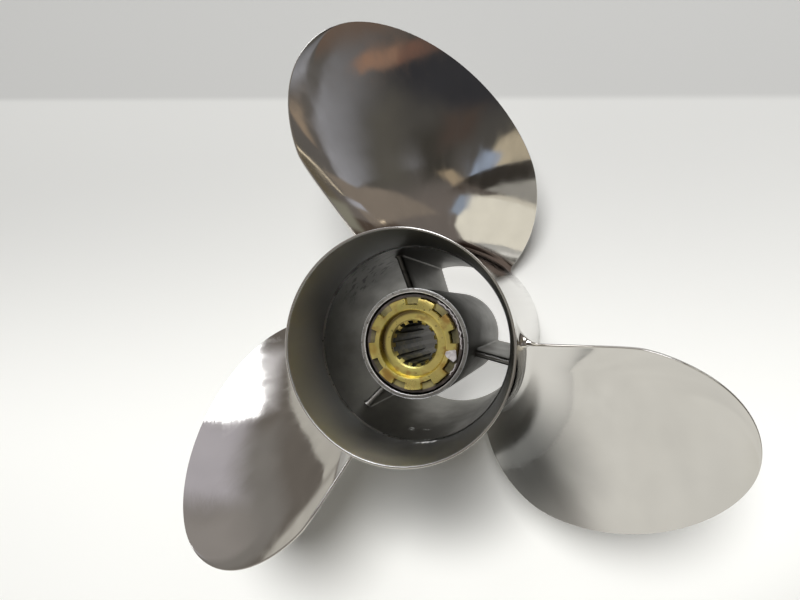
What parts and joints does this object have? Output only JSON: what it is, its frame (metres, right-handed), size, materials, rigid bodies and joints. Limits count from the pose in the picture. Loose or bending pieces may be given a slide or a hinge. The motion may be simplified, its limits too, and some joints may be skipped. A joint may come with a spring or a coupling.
{
  "type": "boat propeller",
  "caption": "Polished stainless boat propeller: raked blades on an exhaust barrel with a flared aft ring, ribs, inner hub, rubber bushing and splined brass sleeve.",
  "frame": {"origin": "on the shaft axis, in the plane of the barrel's front rim, on which the propeller stands", "axes": "+Z aft along the shaft axis, up as it stands; +Y towards the middle of the first blade"},
  "size_m": [0.3319, 0.3177, 0.1536],
  "materials": {
    "polished_stainless": "polished, with fine brushed streaks",
    "cast_stainless": "satin, as cast and ground",
    "brass": "machined, with orange patina",
    "rubber": "matte"
  },
  "bodies": {
    "root": {"barrel": "polished_stainless", "flared_ring": "polished_stainless", "inner_hub": "cast_stainless", "rib_1": "cast_stainless", "rib_2": "cast_stainless", "rib_3": "cast_stainless", "blade_1": "polished_stainless", "blade_2": "polished_stainless", "blade_3": "polished_stainless", "rubber_bushing": "rubber", "spline_sleeve": "brass"}
  },
  "joints": []
}
